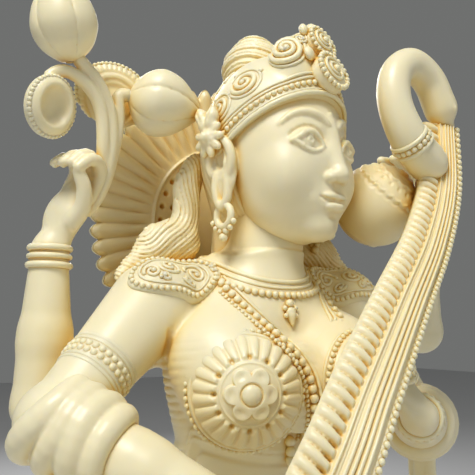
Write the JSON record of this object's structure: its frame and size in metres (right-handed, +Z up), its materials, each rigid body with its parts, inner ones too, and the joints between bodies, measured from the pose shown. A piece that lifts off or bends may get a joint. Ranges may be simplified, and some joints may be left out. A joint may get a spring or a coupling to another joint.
{
  "type": "seated four-armed deity statuette with lute",
  "caption": "Seated four-armed goddess statuette on a lotus throne, playing a long-necked lute in front of a pleated halo, cast in ivory-coloured resin.",
  "frame": {"origin": "centre of the felt pad's underside, which rests on a shelf or table", "axes": "+Z up; the figure faces -Y; +X is the figure's left"},
  "size_m": [0.1318, 0.1076, 0.208],
  "materials": {
    "ivory_resin": "satin",
    "felt": "matte",
    "steel": "satin"
  },
  "bodies": {
    "root": {"lotus_petals_lower": "ivory_resin", "lotus_petals_upper": "ivory_resin", "head": "ivory_resin", "back_arm_right": "ivory_resin", "torso": "ivory_resin", "back_arm_left": "ivory_resin", "crown": "ivory_resin", "lute_frets": "ivory_resin", "lotus_stems": "ivory_resin", "choker": "ivory_resin", "plinth": "ivory_resin", "forearm_left": "ivory_resin", "shawl_left": "ivory_resin", "long_necklace": "ivory_resin", "forearm_right": "ivory_resin", "shawl_right": "ivory_resin", "waist_belt": "ivory_resin", "halo": "ivory_resin", "back_hair": "ivory_resin", "lute_swan_head": "ivory_resin", "back_bangles_left": "ivory_resin", "hips": "ivory_resin", "epaulette_right": "ivory_resin", "back_bangles_right": "ivory_resin", "armlet_left": "ivory_resin", "lotus_pod": "ivory_resin", "epaulette_left": "ivory_resin", "lute_resonator": "ivory_resin", "armlet_right": "ivory_resin", "bangles_left": "ivory_resin", "lotus_bloom": "ivory_resin", "bangles_right": "ivory_resin", "bodice_cup_right": "ivory_resin", "bodice_cup_left": "ivory_resin", "ear_flower_right": "ivory_resin", "ear_flower_left": "ivory_resin", "hair_bun": "ivory_resin", "lotus_bud_side": "ivory_resin", "lute_gourd": "ivory_resin", "lotus_bud_top": "ivory_resin", "hair_lock_left": "ivory_resin", "crown_medallions": "ivory_resin", "thigh_right": "ivory_resin", "thigh_left": "ivory_resin", "earring_left": "ivory_resin", "upper_arm_right": "ivory_resin", "upper_arm_left": "ivory_resin", "shin_left": "ivory_resin", "foot_right": "ivory_resin", "base_felt": "felt", "lute_stick": "ivory_resin", "skirt_pleats": "ivory_resin", "hair_lock_right": "ivory_resin", "shin_right": "ivory_resin", "foot_left": "ivory_resin", "earring_right": "ivory_resin", "throne_pin": "steel", "body_pin": "steel", "neck_pin": "steel", "halo_pin": "steel"}
  },
  "joints": []
}
